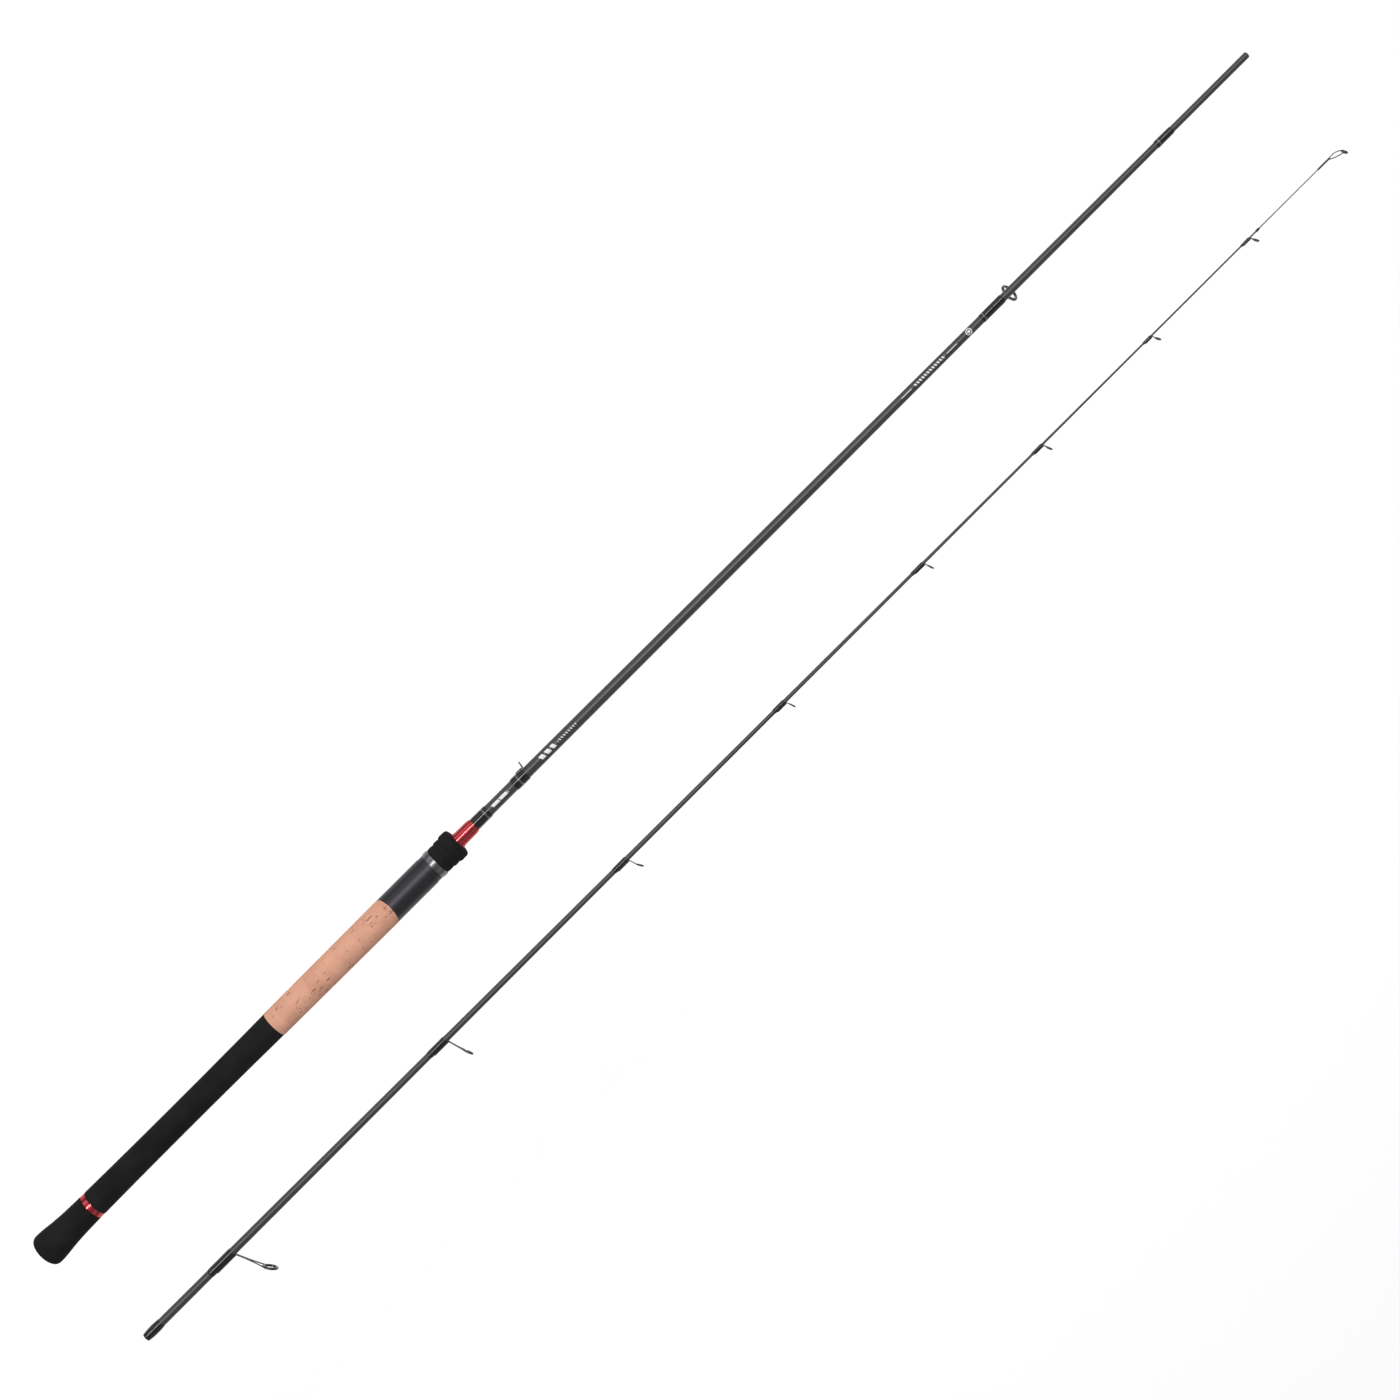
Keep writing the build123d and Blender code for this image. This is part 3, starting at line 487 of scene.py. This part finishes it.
def cork_mesh():
    """The sanded cork, with its seams and pores sunk in, and how deep a pore is at each point."""
    form = bmesh.new()
    depth_layer = form.verts.layers.float.new("pore")
    near_ring = {}
    for pore in cork_pores():
        for beside in (-1, 0, 1):
            ring_number = int((pore[0] - cork_low.x) / CORK_PITCH) + beside
            near_ring.setdefault(ring_number, []).append(pore)
    rows = math.ceil(cork_length / CORK_PITCH * ROWS_A_RING)
    turn = [2 * math.pi * i / CORK_AROUND - math.pi for i in range(CORK_AROUND)]
    grid = []
    for row in range(rows + 1):
        straight = min(cork_low.x + row * CORK_PITCH / ROWS_A_RING, cork_high.x)
        share = (straight - cork_low.x) / cork_length
        ring = []
        for angle in turn:
            # the front edge slants: it lies furthest forward on the back of the rod
            front = cork_high.x - slant_reach * (1 - math.sin(angle)) / 2
            blend = max(0.0, (share - SLANT_FROM) / (1 - SLANT_FROM))
            x = straight - blend ** 2 * (cork_high.x - front)
            radius = min(cork_outer, cork_rear_radius + (x - cork_low.x) / cork_length * TAPER)
            seam = abs((x - cork_low.x + CORK_PITCH / 2) % CORK_PITCH - CORK_PITCH / 2)
            radius -= SEAM_DEPTH * max(0.0, 1 - seam / SEAM_REACH) ** 2
            edge = min(x - cork_low.x, front - x)
            radius -= EDGE_DEPTH * max(0.0, 1 - max(edge, 0) / EDGE_REACH) ** 2
            sunk = sunk_at(x, angle, near_ring.get(int((x - cork_low.x) / CORK_PITCH), ()))
            radius -= sunk
            point = form.verts.new((x, radius * math.cos(angle), radius * math.sin(angle)))
            point[depth_layer] = sunk / DEEPEST_PORE
            ring.append(point)
        grid.append(ring)
    for near, far in zip(grid, grid[1:]):
        for i in range(CORK_AROUND):
            j = (i + 1) % CORK_AROUND
            form.faces.new((near[i], near[j], far[j], far[i]))
    for end in (grid[0], grid[-1]):
        hub = form.verts.new((sum(v.co.x for v in end) / CORK_AROUND, 0, 0))
        for i in range(CORK_AROUND):
            form.faces.new((end[i], end[(i + 1) % CORK_AROUND], hub))
    bmesh.ops.recalc_face_normals(form, faces=form.faces)
    mesh = bpy.data.meshes.new("cork_grip")
    form.to_mesh(mesh)
    form.free()
    return mesh


def cork():
    finish = Finish("cork", Specular_IOR_Level=0.2)
    pore = finish.node("ShaderNodeAttribute", {}, output="Fac", attribute_name="pore")
    ring = ((finish.x - cork_low.x) / CORK_PITCH).sum("FLOOR")
    tone = finish.node("ShaderNodeTexWhiteNoise", {"W": ring}, noise_dimensions="1D")
    cloud = finish.noise(9 * MM, detail=4)
    fleck = finish.noise(1.1 * MM, detail=3, place=finish.stretched(0.45))
    speck = finish.cells(1.9 * MM, place=finish.stretched(0.4))
    colour = finish.blend(tone * 0.3 + cloud * 0.7, (0.60, 0.29, 0.195), (0.83, 0.44, 0.31))
    colour = finish.blend(fleck.step(0.55, 0.78) * 0.4, colour, (0.45, 0.21, 0.12))
    colour = finish.blend((1 - speck.step(0.04, 0.13)) * 0.5, colour, (0.33, 0.14, 0.075))
    # The pores' own brown is deepened with their depth: painted shade in the hollows.
    colour = finish.blend(pore.step(0.08, 0.7) * 0.85, colour, (0.16, 0.06, 0.03))
    seam = (finish.x - cork_low.x + CORK_PITCH / 2).repeat(CORK_PITCH) - CORK_PITCH / 2
    glue = 1 - abs(seam).step(0.05 * MM, 0.4 * MM)
    colour = finish.blend(glue * 0.3, colour, (0.52, 0.28, 0.19))
    height = finish.noise(0.8 * MM, detail=5, roughness=0.7)
    return finish.feed(Base_Color=colour, Roughness=0.66 + fleck * 0.2,
                       Normal=finish.bump(height, 0.12 * MM, 0.5))


new_piece("cork_grip", cork_mesh(),
          "butt_section", "cork_rings", slot="cork", material=cork())


# ---- Reel seat, sliding hood and lock nut ----
# Glass-filled nylon mouldings, satin black with a very fine sparkle-eroded skin, on foam bushings.
# The nut pushes the sliding hood back over the reel's foot.
def moulding():
    finish = Finish("seat_moulding", Specular_IOR_Level=0.6, Specular_Tint=(0.97, 0.91, 1.0, 1.0))
    skin = finish.noise(0.28 * MM, detail=3, roughness=0.6)
    flow = finish.noise(14 * MM, detail=2)
    colour = finish.blend(flow, (0.007, 0.0072, 0.0088), (0.0115, 0.0118, 0.0142))
    return finish.feed(Base_Color=colour, Roughness=0.35 + skin * 0.16 + flow * 0.04,
                       Normal=finish.bump(skin, 0.05 * MM, 0.35))


def bushing():
    finish = Finish("arbor_foam")
    cells = finish.cells(0.8 * MM)
    grain = finish.noise(2 * MM, detail=3)
    # Painted shade: the cells' hollows, which the bump sinks, are coloured darker.
    colour = finish.blend(cells.step(0.1, 0.6) * grain, (0.2, 0.19, 0.17), (0.38, 0.36, 0.32))
    return finish.feed(Base_Color=colour, Roughness=0.8 + grain * 0.15,
                       Normal=finish.bump(cells, 0.3 * MM))


seat_black = moulding()
for node in ("reel_seat", "sliding_hood", "lock_nut"):
    wear(node, seat_black)
wear("seat_arbors", bushing())


# ---- Metal trim ----
# The ring on the nut is turned aluminium in gunmetal; the winding check and the knob's ring are
# turned aluminium, anodised red, with fine tool marks around them.
def turned_metal(name, dark, light, roughness, rim=(1.0, 1.0, 1.0, 1.0), lacquer=0.0):
    finish = Finish(name, Metallic=1.0, Specular_Tint=rim, Coat_Weight=lacquer, Coat_IOR=2.4,
                    Coat_Roughness=0.08)
    tool = finish.noise(0.1 * MM, detail=2, place=finish.stretched(1.0, 0.012))
    stain = finish.noise(7 * MM, detail=3)
    colour = finish.blend(tool * 0.5 + stain * 0.5, dark, light)
    return finish.feed(Base_Color=colour, Roughness=roughness + tool * 0.1 + stain * 0.05,
                       Normal=finish.bump(tool, 0.012 * MM, 0.5))


wear("nut_ring", turned_metal("gunmetal", (0.16, 0.16, 0.168), (0.24, 0.24, 0.25), 0.22))
red = turned_metal("red_anodised", (0.50, 0.012, 0.022), (0.66, 0.03, 0.042), 0.2,
                   rim=(0.6, 0.08, 0.12, 1.0), lacquer=0.4)
wear("winding_check", red)
wear("knob_ring", red)


# ---- Wraps ----
# Fine black nylon thread, wound turn against turn over the blank and the guides' feet and covered
# with clear epoxy that levels out glossy. The turns show faintly through it.
THREAD_PITCH = 0.26 * MM


def epoxied_thread():
    finish = Finish("epoxied_thread", Specular_IOR_Level=0.15, Coat_Weight=1.0, Coat_Roughness=0.045)
    turns = finish.x.wave(THREAD_PITCH)
    fuzz = finish.noise(0.5 * MM, detail=3)
    level = finish.noise(2.6 * MM, detail=1)
    colour = finish.blend(turns * 0.7 + fuzz * 0.3, (0.003, 0.003, 0.0034), (0.009, 0.009, 0.0096))
    return finish.feed(Base_Color=colour, Roughness=0.2 + fuzz * 0.12,
                       Normal=finish.bump(turns * 0.25 + level * 0.75, 0.03 * MM, 0.2))


wrap_black = epoxied_thread()
guide_count = sum(name.endswith("_wrap") and name.startswith("guide_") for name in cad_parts)
for node in ("check_wrap", "keeper_wrap", "stop_wrap", "ferrule_wrap", "splice_wrap"):
    wear(node, wrap_black)
for number in range(1, guide_count + 1):
    wear(f"guide_{number}_wrap", wrap_black)


# ---- Silver bands ----
# A few turns of metallic silver thread near one end of each wrap of the butt section, under the
# same epoxy. The turns are wound by the tree: a spiral swept with the thread's own section.
TURNS = 8
POINTS_A_TURN = 48
THREAD_SIDES = 8


def winding_tree():
    tree = bpy.data.node_groups.new("thread_winding", "GeometryNodeTree")
    sizes = {"Turns": "Float", "Radius": "Float", "Length": "Float", "Thread": "Float",
             "Start": "Vector", "Material": "Material"}
    for name, kind in sizes.items():
        tree.interface.new_socket(name, in_out="INPUT", socket_type=f"NodeSocket{kind}")
    tree.interface.new_socket("Geometry", in_out="OUTPUT", socket_type="NodeSocketGeometry")
    add, link = tree.nodes.new, tree.links.new
    given = add("NodeGroupInput").outputs
    spiral = add("GeometryNodeCurveSpiral")
    spiral.inputs["Resolution"].default_value = POINTS_A_TURN
    link(given["Turns"], spiral.inputs["Rotations"])
    link(given["Radius"], spiral.inputs["Start Radius"])
    link(given["Radius"], spiral.inputs["End Radius"])
    link(given["Length"], spiral.inputs["Height"])
    section = add("GeometryNodeCurvePrimitiveCircle")
    section.inputs["Resolution"].default_value = THREAD_SIDES
    link(given["Thread"], section.inputs["Radius"])
    sweep = add("GeometryNodeCurveToMesh")
    sweep.inputs["Fill Caps"].default_value = True
    link(spiral.outputs[0], sweep.inputs["Curve"])
    link(section.outputs[0], sweep.inputs["Profile Curve"])
    lay = add("GeometryNodeTransform")
    lay.inputs["Rotation"].default_value = (0, math.pi / 2, 0)
    link(sweep.outputs[0], lay.inputs["Geometry"])
    link(given["Start"], lay.inputs["Translation"])
    real = add("GeometryNodeRealizeInstances")
    link(lay.outputs[0], real.inputs[0])
    paint = add("GeometryNodeSetMaterial")
    link(real.outputs[0], paint.inputs["Geometry"])
    link(given["Material"], paint.inputs["Material"])
    link(paint.outputs[0], add("NodeGroupOutput").inputs[0])
    return tree


def grown(name, tree, **sizes):
    """The plain mesh that a tree makes with these sizes."""
    holder = bpy.data.objects.new(name, bpy.data.meshes.new(name))
    bpy.context.collection.objects.link(holder)
    modifier = holder.modifiers.new("tree", "NODES")
    modifier.node_group = tree
    for item in tree.interface.items_tree:
        if item.in_out == "INPUT" and item.name in sizes:
            modifier[item.identifier] = sizes[item.name]
    mesh = bpy.data.meshes.new_from_object(holder.evaluated_get(bpy.context.evaluated_depsgraph_get()))
    bpy.data.objects.remove(holder)
    return mesh


def silver():
    finish = Finish("silver_thread", Metallic=0.85, Coat_Weight=1.0, Coat_Roughness=0.04)
    strand = finish.noise(0.12 * MM, detail=2)
    colour = finish.blend(strand, (0.15, 0.155, 0.165), (0.34, 0.345, 0.36))
    return finish.feed(Base_Color=colour, Roughness=0.22 + strand * 0.18,
                       Normal=finish.bump(strand, 0.03 * MM, 0.4))


winding = winding_tree()
bright_thread = silver()
band_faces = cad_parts["butt_bands"].data
stations = sorted({round(vertex.co.x, 5) for vertex in band_faces.vertices})
band_meshes = []
for near, far in zip(stations[::2], stations[1::2]):
    edge = [v.co for v in band_faces.vertices if abs(v.co.x - near) < 1e-5]
    outer = max(math.hypot(point.y, point.z) for point in edge)
    thread = (far - near) / TURNS / 2
    band_meshes.append(grown("band", winding, Turns=float(TURNS - 1), Radius=outer - thread,
                             Length=far - near - 2 * thread, Thread=thread,
                             Start=(near + thread, 0.0, 0.0), Material=bright_thread))
joined = bmesh.new()
for mesh in band_meshes:
    joined.from_mesh(mesh)
bands = bpy.data.meshes.new("silver_bands")
joined.to_mesh(bands)
joined.free()
new_piece("silver_bands", bands,
          "butt_section", "butt_bands", slot="silver_thread", material=bright_thread, smooth=80)


# ---- Guides, keeper and tip top ----
# Stamped and bent stainless frames, dark plated, each with a polished ceramic ring pressed in; the
# hook keeper is a bent wire.
def plated_steel():
    finish = Finish("plated_steel", Metallic=0.9)
    rub = finish.noise(1.2 * MM, detail=4, roughness=0.6)
    grain = finish.noise(0.2 * MM, detail=2)
    colour = finish.blend(rub.step(0.35, 0.75), (0.05, 0.05, 0.053), (0.15, 0.15, 0.157))
    return finish.feed(Base_Color=colour, Roughness=0.25 + grain * 0.16,
                       Normal=finish.bump(grain, 0.02 * MM, 0.4))


def ceramic():
    finish = Finish("ring_ceramic", Specular_IOR_Level=0.5, Coat_Weight=0.3, Coat_Roughness=0.03)
    cloud = finish.noise(1.5 * MM, detail=3)
    colour = finish.blend(cloud, (0.008, 0.008, 0.009), (0.02, 0.02, 0.022))
    return finish.feed(Base_Color=colour, Roughness=0.08 + cloud * 0.08,
                       Normal=finish.bump(cloud, 0.01 * MM, 0.3))


steel, ring_black = plated_steel(), ceramic()
wear("hook_keeper", steel)
wear("tip_top_frame", steel)
wear("tip_top_ring", ring_black)
for number in range(1, guide_count + 1):
    wear(f"guide_{number}_frame", steel)
    wear(f"guide_{number}_ring", ring_black)
